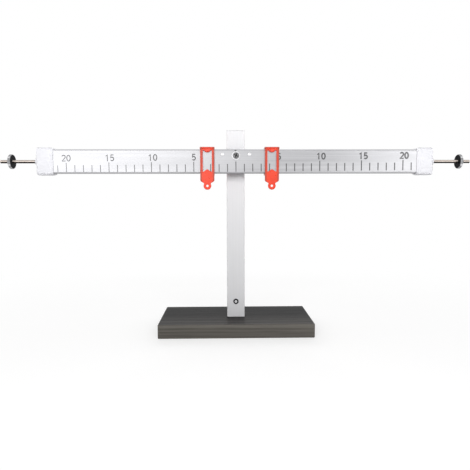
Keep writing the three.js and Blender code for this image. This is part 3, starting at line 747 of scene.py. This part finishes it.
def closed_chain(rings):
    """Quads between neighbouring rings of an array (ring, point, 3), the last ring joined to the first.

    The volume inside, summed over the faces, shows whether they look outward; if not, they are turned.
    """
    ring_count, count = rings.shape[:2]
    ring, place = np.meshgrid(np.arange(ring_count), np.arange(count), indexing="ij")
    next_ring, next_place = (ring + 1) % ring_count, (place + 1) % count
    faces = np.stack([ring * count + place, ring * count + next_place,
                      next_ring * count + next_place, next_ring * count + place], axis=-1).reshape(-1, 4)
    points = rings.reshape(-1, 3)
    first, second, third, fourth = (points[faces[:, i]] for i in range(4))
    volume = (np.cross(second, third) * first).sum() + (np.cross(third, fourth) * first).sum()
    return points, (faces if volume > 0 else faces[:, ::-1])


beam_size = beam_high - beam_low
for side, outward in (("left", -1), ("right", 1)):
    low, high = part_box("end_cap_" + side)
    middle = (low + high) / 2
    mouth = high.x if side == "left" else low.x
    boss_tip = high.x - low.x - boss_short
    sections = cap_sections(high.y - low.y, high.z - low.z, beam_size.y, beam_size.z, boss_tip)
    rings = []
    for way, width, tall, corner in sections:
        ring = section_ring(width, tall, corner)
        across = np.full(len(ring), mouth + outward * way)
        rings.append(np.stack([across, middle.y + ring[:, 0], middle.z + ring[:, 1]], axis=1))
    cap = new_piece(
        "soft_cap_" + side, *closed_chain(np.array(rings)), "beam", "cap_plastic", cap_plastic, smooth=True)
    cap.data.set_sharp_from_angle(angle=math.radians(40))
    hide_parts("end_cap_" + side)

# %% [markdown]
# ## Floor and light
# The balance stands on pale paper in a white room. The paper gives back part of the light as a plain pale
# surface does, so it keeps the shadow of the stand, and an even glow is added where it is seen directly. The
# glow grows with distance until the floor runs into the white background with no line.

# %% Floor
floor_half = 4.0
floor_plain_from = 0.2
floor_plain_to = 0.6
paper_grey = 0.5
paper_glow = 0.55

floor_mesh = bpy.data.meshes.new("floor")
floor_mesh.from_pydata(
    [(-floor_half, -floor_half, 0), (floor_half, -floor_half, 0), (floor_half, floor_half, 0),
     (-floor_half, floor_half, 0)], [], [(0, 1, 2, 3)])
floor = bpy.data.objects.new("floor", floor_mesh)
bpy.context.scene.collection.objects.link(floor)


def seen_directly(tree):
    """1 for rays from the camera, from a gloss or through glass, else 0."""
    path = node(tree, "ShaderNodeLightPath").outputs
    gloss_or_camera = node(tree, "ShaderNodeMath", {0: path["Is Camera Ray"], 1: path["Is Glossy Ray"]})
    return node(tree, "ShaderNodeMath", {
        0: gloss_or_camera.outputs[0], 1: path["Is Transmission Ray"]}, use_clamp=True).outputs[0]


floor_material, tree, shader = begin_material("floor_paper", Roughness=0.9, Specular_IOR_Level=0.0)
shader.inputs["Base Color"].default_value = (paper_grey, paper_grey, paper_grey, 1)
place = node(tree, "ShaderNodeTexCoord").outputs["Object"]
reach = node(tree, "ShaderNodeVectorMath", {0: place}, operation="LENGTH").outputs["Value"]
plain = between(tree, reach, 0.0, 1.0, floor_plain_from, floor_plain_to)
seen = seen_directly(tree)
near_glow = node(tree, "ShaderNodeEmission", {
    "Strength": node(tree, "ShaderNodeMath", {0: seen, 1: paper_glow}, operation="MULTIPLY").outputs[0]})
near = node(tree, "ShaderNodeAddShader", {0: shader.outputs[0], 1: near_glow.outputs[0]})
far = node(tree, "ShaderNodeEmission", {"Strength": 1.0})
plain_seen = node(tree, "ShaderNodeMath", {0: plain, 1: seen}, operation="MULTIPLY").outputs[0]
mixed = node(tree, "ShaderNodeMixShader", {0: plain_seen, 1: near.outputs[0], 2: far.outputs[0]})
tree.links.new(mixed.outputs[0], tree.nodes["Material Output"].inputs["Surface"])
floor_mesh.materials.append(floor_material)
print("floor:", floor_half * 2, "m square")

# %% Room light
room_level = 0.28
world = bpy.data.worlds.new("white_room")
world.use_nodes = True
bpy.context.scene.world = world
tree = world.node_tree
tree.nodes.clear()
seen = node(tree, "ShaderNodeBackground", {"Color": (1, 1, 1, 1), "Strength": 1.0})
lighting = node(tree, "ShaderNodeBackground", {"Color": (1, 1, 1, 1), "Strength": room_level})
mixed = node(tree, "ShaderNodeMixShader", {
    0: seen_directly(tree), 1: lighting.outputs[0], 2: seen.outputs[0]})
node(tree, "ShaderNodeOutputWorld", {"Surface": mixed.outputs[0]})
print("room level:", room_level)

# %% [markdown]
# A wide soft box in front and above lights the object and draws the soft strip of shadow that the beam throws
# on the post. One behind and one at each side, set back so that they don't reach the front, keep the back and
# the sides as light. Two panels left and right of the reader are what the brushed beam mirrors: it shows
# bright towards both ends and darker between them.

# %% Lamps
def lamp(name, place, target, width, height, level, glints=True, lights=True):
    """An area lamp that faces a target; level is how bright its face looks, where 1 is white.

    Without glints no gloss shows the lamp, and without lights it is only seen in gloss.
    """
    light = bpy.data.lights.new(name, "AREA")
    light.shape = "RECTANGLE"
    light.size = width
    light.size_y = height
    light.energy = level * math.pi * width * height
    made = bpy.data.objects.new(name, light)
    bpy.context.scene.collection.objects.link(made)
    facing = (Vector(target) - Vector(place)).to_track_quat("-Z", "Y")
    made.matrix_world = Matrix.LocRotScale(Vector(place), facing, None)
    made.visible_glossy = glints
    made.visible_diffuse = lights
    return made


beam_middle = (0, beam_face, (beam_low.z + beam_high.z) / 2)
lamp("soft_box", (0.0, -0.9, 0.53), beam_middle, 1.1, 0.5, 4.3, glints=False)
lamp("back_box", (0.0, 1.1, 0.6), beam_middle, 1.6, 0.7, 2.6, glints=False)
lamp("left_side_box", (-1.3, 0.35, 0.45), beam_middle, 0.9, 0.8, 1.5, glints=False)
lamp("right_side_box", (1.3, 0.35, 0.45), beam_middle, 0.9, 0.8, 1.5, glints=False)
lamp("left_panel", (-0.59, -1.2, 0.34), beam_middle, 1.14, 0.56, 1.75, lights=False)
lamp("right_panel", (0.88, -1.2, 0.34), beam_middle, 0.64, 0.56, 2.0, lights=False)
print("lamps:", [light.name for light in bpy.data.lights])

# %% [markdown]
# ## Camera
# The camera stands a little over half a metre in front and just below the beam, and looks slightly down, so
# the top of the base shows.

# %% Camera
picture_width = 470
focal_pixels = 443.1
camera_place = Vector((-12.79, -559.53, 170.14)) * mm
yaw, pitch, roll = math.radians(1.234), math.radians(5.10), math.radians(-0.12)
ahead = Vector((math.sin(yaw) * math.cos(pitch), math.cos(yaw) * math.cos(pitch), -math.sin(pitch)))
right = Vector((math.cos(yaw), -math.sin(yaw), 0))
up = right.cross(ahead)
rolled_right = right * math.cos(roll) + up * math.sin(roll)
rolled_up = up * math.cos(roll) - right * math.sin(roll)
camera_data = bpy.data.cameras.new("camera")
camera_data.sensor_width = 36
camera_data.lens = focal_pixels / picture_width * camera_data.sensor_width
camera_data.clip_start = 0.01
camera = bpy.data.objects.new("camera", camera_data)
bpy.context.scene.collection.objects.link(camera)
turn = Matrix((rolled_right, rolled_up, -ahead)).transposed().to_4x4()
camera.matrix_world = Matrix.Translation(camera_place) @ turn
bpy.context.scene.camera = camera
bpy.context.scene.view_settings.view_transform = "Standard"
print("lens:", round(camera_data.lens, 2), "mm")
